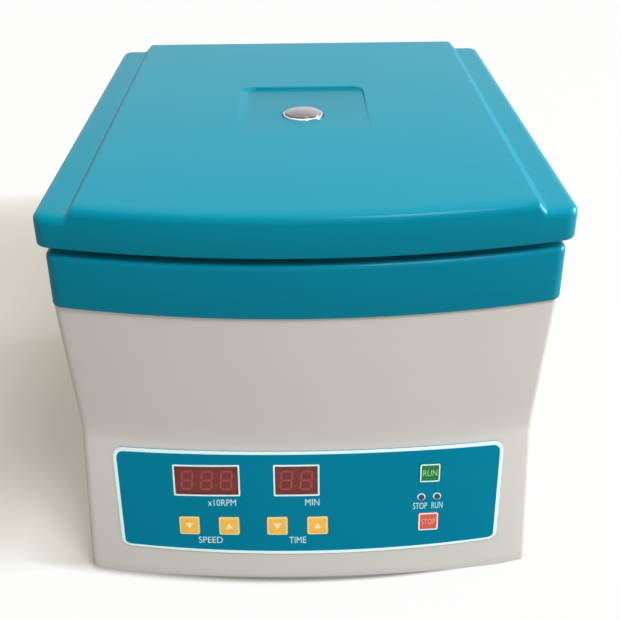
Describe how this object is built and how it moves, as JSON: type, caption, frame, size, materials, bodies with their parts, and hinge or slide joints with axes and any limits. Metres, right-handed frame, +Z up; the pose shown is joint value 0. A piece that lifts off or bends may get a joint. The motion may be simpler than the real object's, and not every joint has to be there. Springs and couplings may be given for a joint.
{
  "type": "microplate centrifuge",
  "caption": "Bench microplate centrifuge with a hinged lid, a sight glass, a front key panel and a swing-out rotor for plates in a steel chamber.",
  "frame": {"origin": "middle of the machine at bench height, under the feet", "axes": "+X to the right of someone facing the panel, +Y to the back, +Z up"},
  "size_m": [0.306, 0.38, 0.2753],
  "materials": {
    "base_fasteners": "zinc plated",
    "base_plate": "semi-gloss black paint",
    "board_standoffs": "plain",
    "chamber_flange": "brushed",
    "chamber_floor": "brushed",
    "chamber_gasket": "matt black",
    "chamber_wall": "brushed",
    "collar_screws": "zinc plated",
    "control_board": "green circuit board",
    "cooling_fan": "matt black",
    "display_boards": "green circuit board",
    "fuse_drawer": "satin black",
    "hinge_brackets": "zinc plated",
    "hinge_leaves": "zinc plated",
    "hinge_pins": "zinc plated",
    "keypad_membrane": "clear film",
    "lid_liner": "satin light grey",
    "lid_screws": "zinc plated",
    "lid_shell": "glossy teal",
    "lid_striker": "zinc plated",
    "lock_bolt": "zinc plated",
    "lock_solenoid": "zinc plated",
    "lower_housing": "glossy warm light grey",
    "motor_barrel": "cast",
    "motor_caps": "cast",
    "motor_core": "laminated",
    "motor_mount_plate": "semi-gloss black paint",
    "motor_shaft": "ground",
    "motor_stator": "laminated",
    "panel_overlay": "glossy printed film",
    "pivot_pins": "zinc plated",
    "plate_carrier_front": "anodised, satin",
    "plate_carrier_rear": "anodised, satin",
    "power_board": "green circuit board",
    "power_inlet": "satin black",
    "power_rocker": "satin black",
    "rotor_nut": "anodised, satin",
    "rotor_yoke": "anodised, satin",
    "rubber_feet": "matt black",
    "rubber_mounts": "matt black",
    "run_key": "glossy green",
    "shaft_bearings": "ground",
    "sight_bezel": "satin silver",
    "sight_lens": "clear",
    "sight_tube": "satin white",
    "speed_digits": "dark red face",
    "speed_down_key": "glossy orange",
    "speed_sensor": "matt black",
    "speed_up_key": "glossy orange",
    "speed_window": "dark red filter",
    "spindle_boot": "matt black",
    "status_lamps": "dark lens",
    "stop_key": "glossy red",
    "switch_bezel": "satin black",
    "time_digits": "dark red face",
    "time_down_key": "glossy orange",
    "time_up_key": "glossy orange",
    "time_window": "dark red filter",
    "transformer": "laminated",
    "upper_collar": "glossy teal"
  },
  "bodies": {
    "chassis": {"base_fasteners": "base_fasteners", "base_plate": "base_plate", "board_standoffs": "board_standoffs", "chamber_flange": "chamber_flange", "chamber_floor": "chamber_floor", "chamber_gasket": "chamber_gasket", "chamber_wall": "chamber_wall", "collar_screws": "collar_screws", "control_board": "control_board", "display_boards": "display_boards", "fuse_drawer": "fuse_drawer", "hinge_brackets": "hinge_brackets", "hinge_pins": "hinge_pins", "keypad_membrane": "keypad_membrane", "lock_solenoid": "lock_solenoid", "lower_housing": "lower_housing", "motor_barrel": "motor_barrel", "motor_caps": "motor_caps", "motor_mount_plate": "motor_mount_plate", "motor_stator": "motor_stator", "panel_overlay": "panel_overlay", "power_board": "power_board", "power_inlet": "power_inlet", "rubber_feet": "rubber_feet", "rubber_mounts": "rubber_mounts", "shaft_bearings": "shaft_bearings", "speed_digits": "speed_digits", "speed_sensor": "speed_sensor", "speed_window": "speed_window", "spindle_boot": "spindle_boot", "status_lamps": "status_lamps", "switch_bezel": "switch_bezel", "time_digits": "time_digits", "time_window": "time_window", "transformer": "transformer", "upper_collar": "upper_collar"},
    "lid": {"lid_shell": "lid_shell", "lid_liner": "lid_liner", "lid_screws": "lid_screws", "sight_bezel": "sight_bezel", "sight_lens": "sight_lens", "sight_tube": "sight_tube", "lid_striker": "lid_striker", "hinge_leaves": "hinge_leaves"},
    "rotor": {"motor_shaft": "motor_shaft", "motor_core": "motor_core", "cooling_fan": "cooling_fan", "rotor_yoke": "rotor_yoke", "rotor_nut": "rotor_nut", "pivot_pins": "pivot_pins"},
    "front_carrier": {"plate_carrier_front": "plate_carrier_front"},
    "rear_carrier": {"plate_carrier_rear": "plate_carrier_rear"},
    "rocker": {"power_rocker": "power_rocker"},
    "bolt": {"lock_bolt": "lock_bolt"},
    "speed_down_key": {"speed_down_key": "speed_down_key"},
    "speed_up_key": {"speed_up_key": "speed_up_key"},
    "time_down_key": {"time_down_key": "time_down_key"},
    "time_up_key": {"time_up_key": "time_up_key"},
    "run_key": {"run_key": "run_key"},
    "stop_key": {"stop_key": "stop_key"}
  },
  "joints": [
    {"name": "lid_hinge", "type": "hinge", "parent": "chassis", "child": "lid", "pos_m": [0, 0.181, 0.248], "axis": [-1, 0, 0], "range_deg": [0, 95]},
    {"name": "rotor_spin", "type": "hinge", "parent": "chassis", "child": "rotor", "pos_m": [0, -0.0125, 0.193], "axis": [0, 0, 1], "continuous": true},
    {"name": "front_carrier_swing", "type": "hinge", "parent": "rotor", "child": "front_carrier", "pos_m": [0, -0.0705, 0.193], "axis": [-1, 0, 0], "range_deg": [0, 90]},
    {"name": "rear_carrier_swing", "type": "hinge", "parent": "rotor", "child": "rear_carrier", "pos_m": [0, 0.0455, 0.193], "axis": [1, 0, 0], "range_deg": [0, 90]},
    {"name": "lock_bolt_slide", "type": "slide", "parent": "chassis", "child": "bolt", "axis": [-1, 0, 0], "range_m": [0, 0.007], "stiffness_N_per_m": 120},
    {"name": "power_rocker_tilt", "type": "hinge", "parent": "chassis", "child": "rocker", "pos_m": [0.059, 0.1697, 0.062], "axis": [-1, 0, 0], "range_deg": [0, 16]},
    {"name": "speed_down_key_press", "type": "slide", "parent": "chassis", "child": "speed_down_key", "axis": [0.1408, 0.9854, -0.0958], "range_m": [0, 0.0005], "stiffness_N_per_m": 400},
    {"name": "speed_up_key_press", "type": "slide", "parent": "chassis", "child": "speed_up_key", "axis": [0.094, 0.991, -0.0958], "range_m": [0, 0.0005], "stiffness_N_per_m": 400},
    {"name": "time_down_key_press", "type": "slide", "parent": "chassis", "child": "time_down_key", "axis": [0.0376, 0.9947, -0.0958], "range_m": [0, 0.0005], "stiffness_N_per_m": 400},
    {"name": "time_up_key_press", "type": "slide", "parent": "chassis", "child": "time_up_key", "axis": [-0.0092, 0.9954, -0.0958], "range_m": [0, 0.0005], "stiffness_N_per_m": 400},
    {"name": "run_key_press", "type": "slide", "parent": "chassis", "child": "run_key", "axis": [-0.1405, 0.9854, -0.0958], "range_m": [0, 0.0005], "stiffness_N_per_m": 400},
    {"name": "stop_key_press", "type": "slide", "parent": "chassis", "child": "stop_key", "axis": [-0.1396, 0.9856, -0.0958], "range_m": [0, 0.0005], "stiffness_N_per_m": 400}
  ]
}
